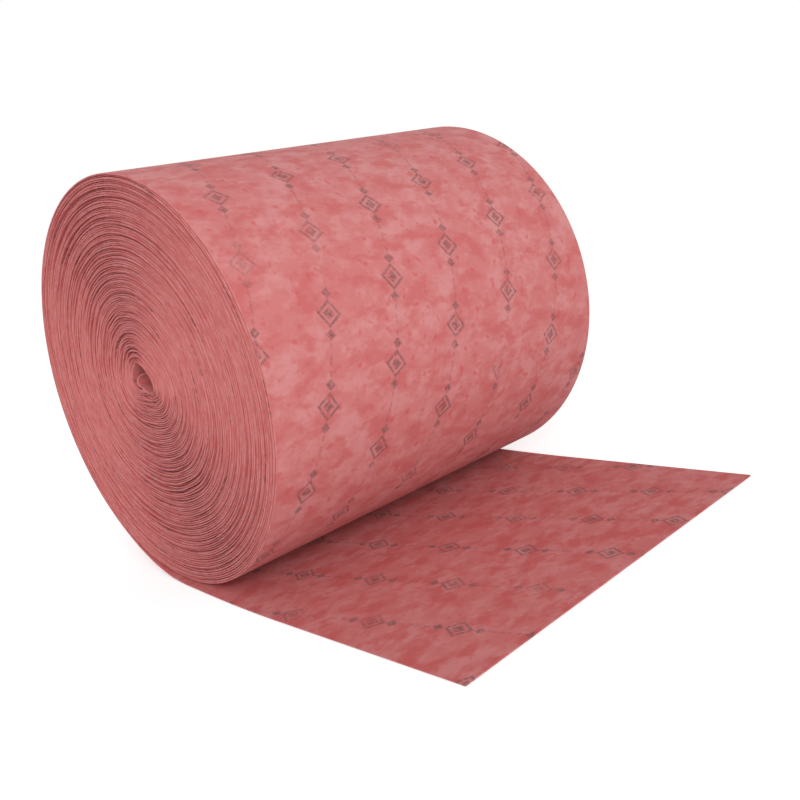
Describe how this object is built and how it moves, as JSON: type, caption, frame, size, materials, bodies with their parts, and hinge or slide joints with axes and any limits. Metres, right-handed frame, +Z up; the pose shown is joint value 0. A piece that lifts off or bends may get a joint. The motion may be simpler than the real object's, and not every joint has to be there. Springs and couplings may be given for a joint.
{
  "type": "waterproof membrane roll",
  "caption": "Coreless roll of pink fleece-faced waterproofing membrane strip, lying on its side with its free end run out flat on the floor.",
  "frame": {"origin": "middle of the footprint of the roll and its free end, on the floor", "axes": "+X the way the free end runs out, +Y along the roll's axis from the near end to the far end, +Z up"},
  "size_m": [0.261, 0.2, 0.1818],
  "materials": {
    "fleece_membrane": "matt non-woven fleece on a thin plastic film, cloudy pink and red, with small grey-brown printed marks"
  },
  "bodies": {
    "root": {"membrane_roll": "fleece_membrane"}
  },
  "joints": []
}
